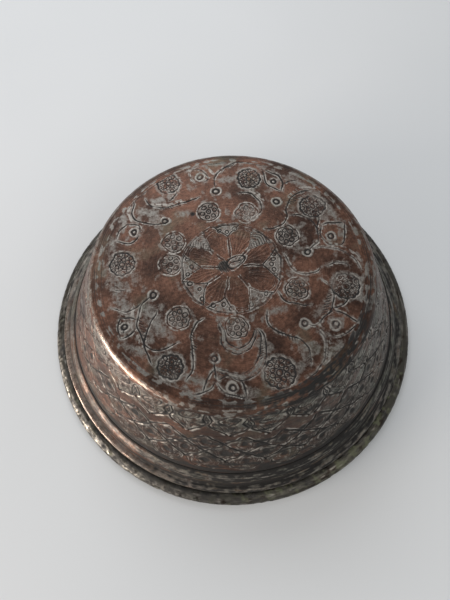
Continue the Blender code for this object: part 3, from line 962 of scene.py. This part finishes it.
    # Two bright places below the corner on the window side, where a hand holds it: tin, smoothed and
    # lightened as a painted highlight.
    polished_highlight = facing_side(angle, 230, 3.4) * bell(s - 4.5, 3.6) * (0.6 + 0.4 * ragged)
    polished_highlight = np.maximum(polished_highlight, 0.6 * facing_side(angle, 224, 20)
                          * step(0.2, 0.9, ragged - 0.2 * wear) * step(17, 14, s))
    tin = np.clip(np.maximum(tin, polished_highlight), 0, 1)
    damp = np.clip(0.5 + 0.4 * waves(x, y, z, 15, 45) - 0.3 * rubbed_and_lit_side, 0, 1)
    # Painted shade: the copper's tone is darker at the front. It is also greyer to the right.
    shade = 0.5 + 0.5 * waves(x, y, z, 20, 49) - 0.7 * painted_shade_side - 0.3 * grey_side
    return np.minimum(lift, 0), {"cut": np.clip(grime, 0, 1), "pale": pale, "tin": tin, "rub": polished_highlight,
                                 "green": damp * tin, "shade": np.clip(shade, 0, 1)}


WALL_CUTS = (0.0, 18.4, 38.0, WALL_LENGTH)   # where the wall is split into three rings
for name, first, last, rows in (("wall_arcade", *WALL_CUTS[0:2], 58),
                                ("wall_upper_scales", *WALL_CUTS[1:3], 64),
                                ("wall_lower_scales", *WALL_CUTS[2:4], 63)):
    fix(band(name, CORNER_END + first, CORNER_END + last, rows, WALL_TURNS, wall_finish),
        copper_face, "copper_body")

# ---------------------------------------------------------------------------
# 4. The neck and the ledge: the sheet drawn in to a groove, a rounded bead and
# a narrow ledge, turned true and burnished, and left plain. Grime fills the
# grooves, and the ledge's outer bend is rubbed to bare copper. On the window side
# the ledge is lightened as a painted highlight, and the front is darker as painted shade.
# ---------------------------------------------------------------------------
WALL_FOOT = (103.2, 20.2)
NECK_GROOVE = (102.75, 19.35)
BEAD_START = (104.1, 18.9)
BEAD_END = (108.7, 13.2)
BEAD_RISE = 0.8
LEDGE_HEIGHT = 12.1
LEDGE_BEND_RADIUS = 2.2
RIM_RADIUS = 120.0
ROLL_RADIUS = 3.95
SOLE_HALF_WIDTH = 0.8
ROLL_CENTRE = (RIM_RADIUS - ROLL_RADIUS, np.sqrt(ROLL_RADIUS ** 2 - SOLE_HALF_WIDTH ** 2))
CHANNEL_RADIUS = ROLL_RADIUS - SHEET
LEG_RADIUS = ROLL_CENTRE[0] - CHANNEL_RADIUS
RING_TURNS = 1200
NECK_ROWS = 64
NECK_LINES = ((105.3, 0.35), (106.9, 0.7), (107.6, 0.5), (110.2, 0.4))   # radius, depth


def arc(centre, radius, start, end, count):
    """Points on a circle of the section, from one angle to another in degrees."""
    angle = np.radians(np.linspace(start, end, count))
    return np.stack([centre[0] + radius * np.cos(angle), centre[1] + radius * np.sin(angle)], 1)


def even(points, count, softness):
    """The same section line with its points evenly spaced, and its corners softened by running
    means of three neighbours."""
    gap = np.concatenate([[0], np.cumsum(np.linalg.norm(np.diff(points, axis=0), axis=1))])
    place = np.linspace(0, gap[-1], count)
    line = np.stack([np.interp(place, gap, points[:, 0]), np.interp(place, gap, points[:, 1])], 1)
    for _ in range(softness):
        line[1:-1] = 0.25 * line[:-2] + 0.5 * line[1:-1] + 0.25 * line[2:]
    return line


def facing_of(line):
    """The outward direction at each point of a section line that runs away from the axis."""
    way = np.gradient(line, axis=0)
    return np.stack([-way[:, 1], way[:, 0]], 1) / np.linalg.norm(way, axis=1)[:, None]


across = np.linspace(0, 1, 24)[:, None]
bead = np.array(BEAD_START) + (np.array(BEAD_END) - np.array(BEAD_START)) * across
bead_out = np.array([BEAD_START[1] - BEAD_END[1], BEAD_END[0] - BEAD_START[0]])
bead = bead + bead_out / np.linalg.norm(bead_out) * BEAD_RISE * 4 * across * (1 - across)
bend_centre = (LEG_RADIUS - LEDGE_BEND_RADIUS, LEDGE_HEIGHT - LEDGE_BEND_RADIUS)
neck_line = even(np.vstack([[WALL_FOOT, NECK_GROOVE], bead, [(109.2, LEDGE_HEIGHT)],
                            arc(bend_centre, LEDGE_BEND_RADIUS, 90, 0, 12)]), NECK_ROWS, 2)
neck_facing = facing_of(neck_line)


def neck_finish(line, angle):
    """Lift and marks of the neck: turned lines, grime that gathers where the section is low
    (the grooves on both sides of the bead), tin left on the bead, stains heavier at the front as
    painted shade, and on the window side a lighter tone and a rubbed sheen as painted light."""
    r, z = line[:, :1], line[:, 1:]
    x, y, z = r * np.cos(angle), r * np.sin(angle), z + 0 * angle
    turned = sum(depth * bell(r - place, 0.16) for place, depth in NECK_LINES)
    turned = turned * np.clip(0.8 + 0.5 * waves(x, y, z, 12, 61), 0.1, 1)
    hollow = bell(r - 103.0, 0.75) + 0.9 * bell(r - 108.9, 0.42)
    hollow = hollow + 0.1 * step(10.6, 9.9, z) * (r > 112)
    along = np.arange(len(r))[:, None] * 2.2 + 0 * angle
    streak = waves(108 * np.cos(angle), 108 * np.sin(angle), along, 12, 62)
    ragged = 0.5 * waves(x, y, z, 12, 60) + 0.6 * streak
    handled_lit_side = facing_side(angle, 212, 42)
    tin = np.clip(step(103.6, 104.8, r) * step(108.8, 107.0, r) * (1.0 + 0.3 * ragged), 0, 1)
    tin = tin + np.clip(0.9 + 0.4 * ragged, 0, 1) * (r > 109) - 0.45 * facing_side(angle, 215, 40)
    dents = -0.16 * step(0.6, 1.5, waves(x, y, z, 13, 64)) - 0.05 * (1 + waves(x, y, z, 30, 65)).clip(0, 2)
    lift = np.minimum(-0.04 - 0.09 * turned + dents * (r < 112.5), 0)
    stain = (1.0 + 0.55 * streak + 0.35 * waves(x, y, 2 * z, 3, 70)).clip(0, 1.8)
    # The stain is heavier at the front, as painted shade, and lighter on the window side, as painted light.
    stain = stain * (0.55 + 0.35 * facing_side(angle, 280, 45) - 0.4 * handled_lit_side)
    stain = stain + 0.3 * step(0.1, 1.2, waves(x, y, z, 16, 66))
    grime = np.maximum(hollow * (0.75 + 0.25 * ragged), 0.8 * turned) + 0.6 * stain
    # The copper's tone is lighter on the window side: painted light.
    shade = 0.1 + 0.4 * handled_lit_side + 0.4 * waves(x, y, z, 22, 67)
    # The ledge, its bend and the bead are rubbed smooth, mostly on the window side, where their lightened
    # colour is a painted highlight.
    bright = np.maximum(step(109.4, 110.2, r) * step(9.6, 10.8, z), 0.3 * bell(r - 105.6, 0.9))
    bright = bright * (0.85 + 0.2 * waves(x, y, z, 9, 68)).clip(0, 1) * (0.05 + 0.95 * handled_lit_side)
    damp = 0.5 - 0.4 * handled_lit_side + 0.3 * waves(x, y, z, 12, 69)
    return lift, {"cut": np.clip(grime, 0, 1), "tin": np.clip(tin, 0, 1), "shade": np.clip(shade, 0, 1),
                  "rub": bright, "green": np.clip(damp, 0, 1)}


def from_ends(rows):
    """How many rows each row is from the nearer end of a section."""
    return np.minimum(np.arange(rows), rows - 1 - np.arange(rows))[:, None]


ring_angle = (np.arange(RING_TURNS) * 2 * np.pi / RING_TURNS)[None, :]
lift, neck_marks = neck_finish(neck_line, ring_angle)
lift *= np.minimum(1, from_ends(NECK_ROWS) / 3)
neck_inside = (neck_line - SHEET * neck_facing)[::-6]
fix(turned_piece("neck_and_ledge", neck_line[:, :1] + lift * neck_facing[:, :1],
                 neck_line[:, 1:] + lift * neck_facing[:, 1:], neck_inside, neck_marks),
    copper_face, "copper_body")

# ---------------------------------------------------------------------------
# 5. The rolled rim: the sheet's edge turned outwards, up and over the wire.
# What shows is the sheet's tinned inner face, dull grey and stained, beaten
# down with a mallet all round, with verdigris and dirt in the lap above it.
# ---------------------------------------------------------------------------
LAP_ANGLE = 124.0            # where the sheet's edge ends on the roll, from level outwards
LAP_RAISE = 1.0              # how far the lap is driven up towards the ledge
SOLE_ANGLE = np.degrees(np.arccos(SOLE_HALF_WIDTH / ROLL_RADIUS))
ROLL_ROWS = 62

roll_outside = even(np.vstack([arc(ROLL_CENTRE, ROLL_RADIUS, LAP_ANGLE, -SOLE_ANGLE, 60),
                               arc(ROLL_CENTRE, ROLL_RADIUS, SOLE_ANGLE - 180, -180, 20)]), ROLL_ROWS, 0)
roll_facing = facing_of(roll_outside)
roll_r, roll_z = roll_outside[:, :1], roll_outside[:, 1:]
x, y, z = roll_r * np.cos(ring_angle), roll_r * np.sin(ring_angle), roll_z + 0 * ring_angle
turn = np.degrees(np.arctan2(roll_z - ROLL_CENTRE[1], roll_r - ROLL_CENTRE[0]))
on_sole = step(1.2, 0.2, z)
on_lap = step(92, 120, turn + 0 * ring_angle)
beaten = hammer(ring_angle, roll_z + 10, roll_r, 8.0, 7.0, 71)
knocks = step(0.7, 1.6, waves(x, y, z, 7, 72)) + 0.6 * step(1.0, 1.8, waves(x, y, z, 3.5, 73))
lift = -(0.10 * beaten + 0.22 * knocks + 0.05 * (1 + waves(x, y, z, 4, 74)).clip(0, 2)) * (1 - on_sole)
lift *= step(0, 3, from_ends(ROLL_ROWS) + 0.6)
ragged_lap = on_lap * (0.30 + 0.30 * waves(x, y, z, 6, 75))
lift = np.minimum(lift - ragged_lap.clip(0, 0.8) * 0.5, 0) + LAP_RAISE * step(66, 118, turn)
# More verdigris at the right front, darker towards the left front, and at the left pale scuffs
# on the roll's top, whose pale colour is partly a painted highlight where the window's light falls.
green_side = facing_side(ring_angle, 305, 36)
darker_front_left = facing_side(ring_angle, 245, 40)
scuffed_and_lit = facing_side(ring_angle, 218, 34) * bell(turn - 42, 44)
along = np.arange(ROLL_ROWS)[:, None] * 2.0 + 0 * ring_angle
streak = waves(116 * np.cos(ring_angle), 116 * np.sin(ring_angle), along, 11, 77)
dirt = 0.6 * step(0.0, 1.1, 0.4 * waves(x, y, z, 11, 76) + 0.5 * streak + 0.85 * darker_front_left)
# The lap, in shade under the ledge, is lightened in streaks: painted light.
pale = (0.45 * step(0.5, 1.2, streak + 0.3 * waves(x, y, z, 5, 78)) * (1 - on_lap)
        + 0.3 * on_lap * step(-0.2, 0.6, streak)
        + 1.2 * scuffed_and_lit * step(-0.5, 0.4, waves(x, y, z, 2.6, 83) + 0.6 * streak))
tin = 0.6 + 0.35 * waves(x, y, z, 9, 79) - 0.3 * streak
green = 0.6 * waves(x, y, z, 8, 80) + 0.35 * waves(x, y, z, 3, 81) + 1.15 * green_side - 0.55
green = step(0.15, 0.9, green) * (0.55 + 0.45 * on_lap)
roll_marks = {"cut": dirt, "pale": np.clip(pale, 0, 1), "tin": np.clip(tin, 0, 1), "green": green}
channel = arc(ROLL_CENTRE, CHANNEL_RADIUS, 180, 360 + LAP_ANGLE, 16)
roll_inside = np.vstack([[(LEG_RADIUS - SHEET, bend_centre[1]), (LEG_RADIUS, bend_centre[1])], channel])

# Stained tin over copper: dark grey, half dull, blotched green where damp copper salts have come
# through, brown where the tin is gone, nearly black in the lap and wherever dirt has dried.
RIM_TIN = "#48453e"
RIM_BROWN = "#2e2721"
RIM_GREEN = "#6c6f52"
RIM_SCUFF_SHEEN = "#a49e94"
rim_face, tree, shader, place = new_finish("stained_tinned_rim")
cut, pale, tin, green = [add(tree, "Attribute", attribute_name=mark)
                         for mark in ("cut", "pale", "tin", "green")]
mottle = add(tree, "TexNoise", {"Vector": place, "Scale": 350.0, "Detail": 5.0, "Roughness": 0.65})
grain = add(tree, "TexNoise", {"Vector": place, "Scale": 1400.0, "Detail": 3.0})
worn = add(tree, "Math", [tin, mottle], operation="ADD")
worn = add(tree, "MapRange", [worn, 0.75, 1.15])
face = add(tree, "Mix", [worn, colour(RIM_BROWN), colour(RIM_TIN)])
# Pale scuffs and streaks; on the window side of the roll's top the pale is a painted highlight.
face = add(tree, "Mix", [pale, face, colour(RIM_SCUFF_SHEEN)])
growth = add(tree, "MapRange", [mottle, 0.36, 0.6])
growth = add(tree, "Math", [green, growth], operation="MULTIPLY")
face = add(tree, "Mix", [growth, face, colour(RIM_GREEN)])
dirt = add(tree, "Math", [cut, mottle], operation="ADD")
dirt = add(tree, "MapRange", [dirt, 0.6, 1.25])
face = add(tree, "Mix", [dirt, face, colour(GRIME)])
dull = add(tree, "Math", [growth, dirt], operation="MAXIMUM")
rough = add(tree, "MapRange", [mottle, 0.3, 0.7, 0.26, 0.46])
rough = add(tree, "Math", [dull, 0.3, rough], operation="MULTIPLY_ADD")
metal = add(tree, "Math", [dull, -0.85, 0.88], operation="MULTIPLY_ADD")
bump = add(tree, "Bump", {"Height": grain, "Strength": 0.5, "Distance": 0.00015})
plug(tree, shader, {"Base Color": face, "Roughness": rough, "Metallic": metal, "Normal": bump})

fix(turned_piece("rolled_rim", roll_r + lift * roll_facing[:, :1], roll_z + lift * roll_facing[:, 1:],
                 roll_inside, roll_marks), rim_face, "copper_body")

# ---------------------------------------------------------------------------
# 6. The wire in the rim: drawn iron, bent to a ring and closed inside the roll.
# It doesn't show on a whole bowl. It is black with forge scale and a little rust.
# ---------------------------------------------------------------------------
FORGE_SCALE = "#2b2927"
RUST = "#5a3826"
wire_face, tree, shader, place = new_finish("scaled_iron_wire")
scale = add(tree, "TexNoise", {"Vector": place, "Scale": 600.0, "Detail": 4.0})
rust = add(tree, "MapRange", [scale, 0.5, 0.7])
face = add(tree, "Mix", [rust, colour(FORGE_SCALE), colour(RUST)])
rough = add(tree, "MapRange", [scale, 0.0, 1.0, 0.5, 0.85])
bump = add(tree, "Bump", {"Height": scale, "Strength": 0.4, "Distance": 0.0001})
plug(tree, shader, {"Base Color": face, "Roughness": rough, "Metallic": 0.8, "Normal": bump})
for part_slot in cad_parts["rim_wire"].material_slots:
    part_slot.material = wire_face

# ---------------------------------------------------------------------------
# 7. The tin inside: wiped on molten over the hammered copper, in one thin coat.
# It follows the planishing marks of the sheet, is soft grey, and is scratched
# and darkened from use in the bottom of the bowl.
# ---------------------------------------------------------------------------
GAP = 0.3
TIN_THICKNESS = 0.3
TIN_EDGE_RADIUS = 110.2
LINING_TURNS = 880
LINING_ROWS = 72
LINING_SEAM = 58.0           # radius at which the flat bottom ends and the turned wall starts
HAMMER_MARKS = (11.0, 9.5)   # size of a planishing facet, across and along
FLAT_RADIUS = np.full(1, 80.0)   # where that size holds; further in, the facets are narrower


def lining_line(depth, rows):
    """The tin's section at a depth below the sheet's outer face, from its flat bottom to its edge."""
    r, z, facing = outer_face(np.concatenate([np.linspace(LINING_SEAM, CORNER_CENTRE, 20),
                                              np.linspace(CORNER_CENTRE, CORNER_END, 14)[1:],
                                              np.linspace(CORNER_END, CORNER_END + WALL_LENGTH, 30)[1:]]))
    line = np.stack([r - depth * np.cos(facing), z - depth * np.sin(facing)], 1)
    run = np.array(BEAD_END) - np.array(BEAD_START)
    start = np.array(BEAD_START) - bead_out / np.linalg.norm(bead_out) * depth
    level = LEDGE_HEIGHT - depth
    end = start + run * (level - start[1]) / run[1]
    return even(np.vstack([line, start, end, (TIN_EDGE_RADIUS, level)]), rows, 1)


def lining_finish(x, y, z, facets, calm):
    """How far the tin's face stands into the bowl, in mm, where planishing and a slow unevenness
    left it, none of it where calm is 0; and its marks: facets, and wear, deepest in the middle."""
    lift = (0.26 * facets + 0.05 * (1 + waves(x, y, z, 20, 92)).clip(0, 2)) * calm
    used = np.clip(0.5 + 0.5 * waves(x, y, z, 30, 93), 0, 1) * step(85, 30, np.hypot(x, y))
    use = np.clip(used + 0.35 * step(0.5, 1.2, waves(x, y, z, 9, 94)), 0, 1)
    return lift, {"facet": facets * calm, "use": use}


def lining_middle(x, y):
    """The finish of the lining's flat middle, planished in straight rows."""
    facets = hammer(x / FLAT_RADIUS, y, FLAT_RADIUS, *HAMMER_MARKS, 90)
    return lining_finish(x, y, 0 * x + BASE_HEIGHT, facets,
                         step(LINING_SEAM, LINING_SEAM - 2, np.hypot(x, y)))


near = lining_line(SHEET + GAP, LINING_ROWS)
far = lining_line(SHEET + GAP + TIN_THICKNESS, LINING_ROWS)
lining_angle = (np.arange(LINING_TURNS) * 2 * np.pi / LINING_TURNS)[None, :]
path = np.arange(LINING_ROWS)[:, None] * np.linalg.norm(np.diff(far, axis=0), axis=1).mean()
x, y = far[:, :1] * np.cos(lining_angle), far[:, :1] * np.sin(lining_angle)
facets = hammer(lining_angle, path + 0 * lining_angle, FLAT_RADIUS, *HAMMER_MARKS, 91)
calm = step(LINING_SEAM, LINING_SEAM + 2, far[:, :1]) * step(111, 108, far[:, :1])
lift, lining_marks = lining_finish(x, y, far[:, 1:] + 0 * lining_angle, facets, calm)
inward = -facing_of(far)
lining_r, lining_z = far[:, :1] + lift * inward[:, :1], far[:, 1:] + lift * inward[:, 1:]

# Wiped tin: soft grey metal with a low polish, drifts of darker stain, brown where use has worn
# it through to the copper, and fine scratches 0.2 mm apart drawn at 0.4 mm so that they show.
TIN_DARK = "#8b8780"
TIN_LIGHT = "#b9b5ac"
TIN_SCRATCH = "#6f6a62"
WORN_COPPER = "#6b5546"
tin_face, tree, shader, place = new_finish("wiped_tin_coat")
use, facet = [add(tree, "Attribute", attribute_name=mark) for mark in ("use", "facet")]
cloud = add(tree, "TexNoise", {"Vector": place, "Scale": 90.0, "Detail": 5.0, "Roughness": 0.6})
grain = add(tree, "TexNoise", {"Vector": place, "Scale": 1300.0, "Detail": 3.0})
turned = add(tree, "Mapping", {"Vector": place, "Rotation": (0, 0, 0.9), "Scale": (2500.0, 120.0, 700.0)})
streak = add(tree, "TexNoise", {"Vector": turned, "Scale": 1.0, "Detail": 1.0})
streak = add(tree, "MapRange", [streak, 0.6, 0.75])
stain = add(tree, "MapRange", [cloud, 0.35, 0.65])
face = add(tree, "Mix", [stain, colour(TIN_DARK), colour(TIN_LIGHT)])
face = add(tree, "Mix", [streak, face, colour(TIN_SCRATCH)])
through = add(tree, "Math", [use, grain], operation="ADD")
through = add(tree, "Math", [facet, -0.25, through], operation="MULTIPLY_ADD")
through = add(tree, "MapRange", [through, 0.75, 1.35, 0.0, 0.7])
face = add(tree, "Mix", [through, face, colour(WORN_COPPER)])
rough = add(tree, "MapRange", [cloud, 0.3, 0.7, 0.3, 0.48])
bump = add(tree, "Bump", {"Height": grain, "Strength": 0.3, "Distance": 0.0001})
plug(tree, shader, {"Base Color": face, "Roughness": rough, "Metallic": 0.92, "Normal": bump})

# The face that shows is the lower one, so its rows run from the edge in, and the hidden face's
# rows from the middle out.
fix(turned_piece("tin_lining_wall", lining_r[::-1], lining_z[::-1], near[np.r_[0:LINING_ROWS:2, -1]],
                 {mark: value[::-1] for mark, value in lining_marks.items()}), tin_face, "tin_lining")
fix(sheet_disc("tin_lining_bottom", LINING_SEAM, 220, BASE_HEIGHT - SHEET - GAP - TIN_THICKNESS,
               BASE_HEIGHT - SHEET - GAP, lining_middle), tin_face, "tin_lining")

# ---------------------------------------------------------------------------
# 8. The floor it lies on, daylight from a low window at the left with softer
# light from above and from the room, and the camera, which looks down at it.
# ---------------------------------------------------------------------------
floor_mesh = bpy.data.meshes.new("floor")
floor_mesh.from_pydata([(-3, -3, 0), (3, -3, 0), (3, 3, 0), (-3, 3, 0)], [], [(0, 1, 2, 3)])
floor = bpy.data.objects.new("floor", floor_mesh)
bpy.context.scene.collection.objects.link(floor)
FLOOR_COLOURS = ("#d3d5d5", "#dbdcdc")
floor_face, tree, shader, place = new_finish("painted_board")
cloud = add(tree, "TexNoise", {"Vector": place, "Scale": 5.0, "Detail": 2.0})
face = add(tree, "Mix", [cloud, *map(colour, FLOOR_COLOURS)])
plug(tree, shader, {"Base Color": face, "Roughness": 0.55})
floor_mesh.materials.append(floor_face)

world = bpy.data.worlds.new("studio")
bpy.context.scene.world = world
world.use_nodes = True
plug(world.node_tree, world.node_tree.nodes["Background"],
     {"Color": colour("#e9ebee"), "Strength": 0.52})


def soft_light(name, place, target, width, height, watts, tint):
    """A rectangular lamp at a place in metres, turned to face a target."""
    lamp = bpy.data.lights.new(name, "AREA")
    lamp.shape = "RECTANGLE"
    lamp.size, lamp.size_y = width, height
    lamp.energy = watts
    lamp.color = colour(tint)[:3]
    made = bpy.data.objects.new(name, lamp)
    made.location = place
    made.rotation_euler = (Vector(target) - Vector(place)).to_track_quat("-Z", "Y").to_euler()
    bpy.context.scene.collection.objects.link(made)


soft_light("window", (-1.35, -0.62, 0.19), (0, 0, 0.04), 0.9, 0.34, 28.0, "#fff4ea")
soft_light("ceiling", (-0.55, 1.4, 1.35), (0, 0, 0), 1.8, 1.0, 20.0, "#f2f5fa")
soft_light("room", (0.9, -1.2, 1.4), (0, 0, 0), 1.6, 1.0, 8.0, "#f7f6f3")

CAMERA_PLACE = (-0.00432, -0.11232, 0.29493)
CAMERA_TILT = 23.05          # from straight down
CAMERA_ROLL = -2.11
camera_data = bpy.data.cameras.new("camera")
camera_data.sensor_width = 36
camera_data.lens = 27
camera = bpy.data.objects.new("camera", camera_data)
bpy.context.scene.collection.objects.link(camera)
camera.matrix_world = (Matrix.Translation(CAMERA_PLACE)
                       @ Euler((np.radians(CAMERA_TILT), 0, 0)).to_matrix().to_4x4()
                       @ Matrix.Rotation(np.radians(CAMERA_ROLL), 4, "Z"))
bpy.context.scene.camera = camera
bpy.context.scene.view_settings.view_transform = "Standard"
